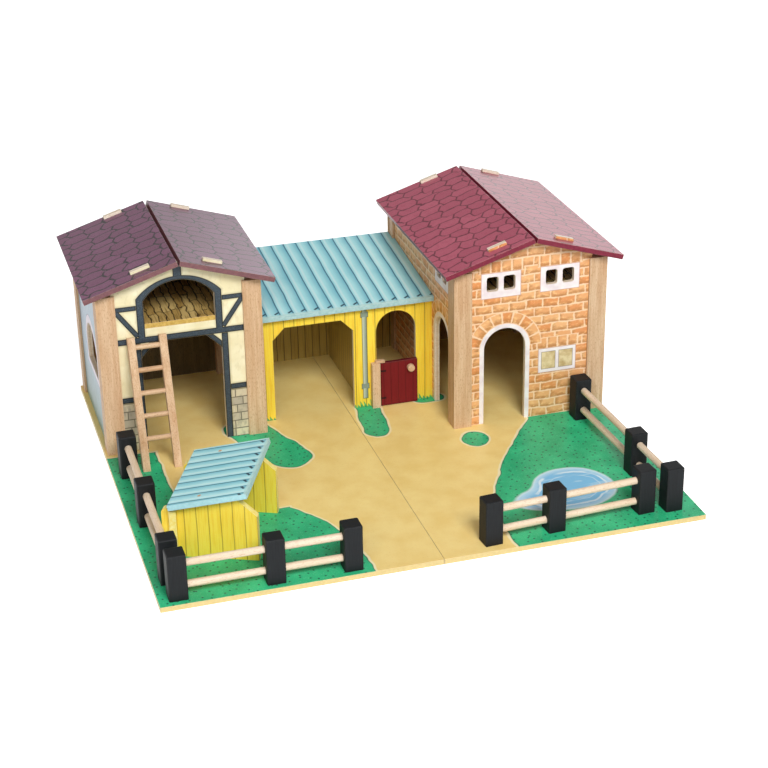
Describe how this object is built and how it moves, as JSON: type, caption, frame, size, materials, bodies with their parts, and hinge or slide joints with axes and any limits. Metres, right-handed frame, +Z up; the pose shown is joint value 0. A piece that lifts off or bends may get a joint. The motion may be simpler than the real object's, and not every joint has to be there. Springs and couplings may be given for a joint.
{
  "type": "toy farm barn playset",
  "caption": "Wooden toy farm: a timbered barn with a hayloft, a low stable with a half door and a brick farmhouse on a printed ground board, with a sty, ladder and fences",
  "frame": {"origin": "middle of the ground board's underside", "axes": "+X right along the front edge, +Y towards the back of the buildings, +Z up"},
  "size_m": [0.6242, 0.548, 0.2411],
  "materials": {
    "beech": "bare sanded beech",
    "ground_print": "plywood printed as sand, grass and a pond",
    "timber_print": "plywood printed as plaster and timber framing",
    "plank_print": "plywood printed as pale weathered boards",
    "brick_print": "plywood printed as brickwork",
    "slate_print": "plywood printed as slates",
    "crimson_print": "plywood printed as red slates",
    "floor_print": "plywood printed as floor boards",
    "yellow_print": "plywood printed as yellow boards",
    "blue_print": "plywood printed as corrugated sheet",
    "red_paint": "wood painted dark red, matt",
    "black_paint": "wood stained near black, worn at the edges",
    "zinc_steel": "zinc plated steel"
  },
  "bodies": {
    "farmyard": {"barn_back_wall": "plank_print", "barn_front_wall": "timber_print", "barn_left_wall": "plank_print", "barn_loft_floor": "floor_print", "barn_post_back_left": "beech", "barn_post_back_right": "beech", "barn_post_front_left": "beech", "barn_post_front_right": "beech", "barn_right_wall": "plank_print", "base_board_left": "ground_print", "base_board_right": "ground_print", "door_hinge_block": "beech", "door_hinge_tab": "beech", "house_back_wall": "brick_print", "house_front_wall": "brick_print", "house_left_wall": "brick_print", "house_post_back_left": "beech", "house_post_back_right": "beech", "house_post_front_left": "beech", "house_post_front_right": "beech", "house_right_wall": "brick_print", "house_upper_floor": "floor_print", "post_screws": "zinc_steel", "stable_back_wall": "yellow_print", "stable_front_wall": "yellow_print", "stable_partition": "yellow_print", "stable_roof": "blue_print"},
    "stable_door": {"door_hinge_pins": "zinc_steel", "door_knob": "beech", "stable_door": "red_paint"},
    "barn_roof_left": {"barn_roof_left": "slate_print"},
    "barn_roof_right": {"barn_roof_right": "slate_print"},
    "house_roof_left": {"house_roof_left": "crimson_print"},
    "house_roof_right": {"house_roof_right": "crimson_print"},
    "sty": {"sty_back_wall": "yellow_print", "sty_far_wall": "yellow_print", "sty_near_wall": "yellow_print", "sty_roof": "blue_print", "sty_roof_pegs": "beech"},
    "ladder": {"ladder_rungs": "beech", "ladder_stile_left": "beech", "ladder_stile_right": "beech"},
    "fence_left": {"fence_left_post_first": "black_paint", "fence_left_post_last": "black_paint", "fence_left_post_middle": "black_paint", "fence_left_rails": "beech"},
    "fence_front_left": {"fence_front_left_post_first": "black_paint", "fence_front_left_post_last": "black_paint", "fence_front_left_post_middle": "black_paint", "fence_front_left_rails": "beech"},
    "fence_front_right": {"fence_front_right_post_first": "black_paint", "fence_front_right_post_last": "black_paint", "fence_front_right_post_middle": "black_paint", "fence_front_right_rails": "beech"},
    "fence_right": {"fence_right_post_first": "black_paint", "fence_right_post_last": "black_paint", "fence_right_post_middle": "black_paint", "fence_right_rails": "beech"}
  },
  "joints": [
    {"name": "stable_door_hinge", "type": "hinge", "parent": "farmyard", "child": "stable_door", "pos_m": [0.04425, 0.0982, 0.0068], "axis": [0, 0, -1], "range_deg": [0, 90]},
    {"name": "barn_roof_left_lift", "type": "slide", "parent": "farmyard", "child": "barn_roof_left", "axis": [-0.2957, 0, 0.9553], "range_m": [0, 0.06]},
    {"name": "barn_roof_right_lift", "type": "slide", "parent": "farmyard", "child": "barn_roof_right", "axis": [0.2957, 0, 0.9553], "range_m": [0, 0.06]},
    {"name": "house_roof_left_lift", "type": "slide", "parent": "farmyard", "child": "house_roof_left", "axis": [-0.2957, 0, 0.9553], "range_m": [0, 0.06]},
    {"name": "house_roof_right_lift", "type": "slide", "parent": "farmyard", "child": "house_roof_right", "axis": [0.2957, 0, 0.9553], "range_m": [0, 0.06]},
    {"name": "sty_lift", "type": "slide", "parent": "farmyard", "child": "sty", "axis": [0, 0, 1], "range_m": [0, 0.08]},
    {"name": "ladder_lift", "type": "slide", "parent": "farmyard", "child": "ladder", "axis": [0, 0, 1], "range_m": [0, 0.04]},
    {"name": "fence_left_lift", "type": "slide", "parent": "farmyard", "child": "fence_left", "axis": [0, 0, 1], "range_m": [0, 0.08]},
    {"name": "fence_front_left_lift", "type": "slide", "parent": "farmyard", "child": "fence_front_left", "axis": [0, 0, 1], "range_m": [0, 0.08]},
    {"name": "fence_front_right_lift", "type": "slide", "parent": "farmyard", "child": "fence_front_right", "axis": [0, 0, 1], "range_m": [0, 0.08]},
    {"name": "fence_right_lift", "type": "slide", "parent": "farmyard", "child": "fence_right", "axis": [0, 0, 1], "range_m": [0, 0.08]}
  ]
}
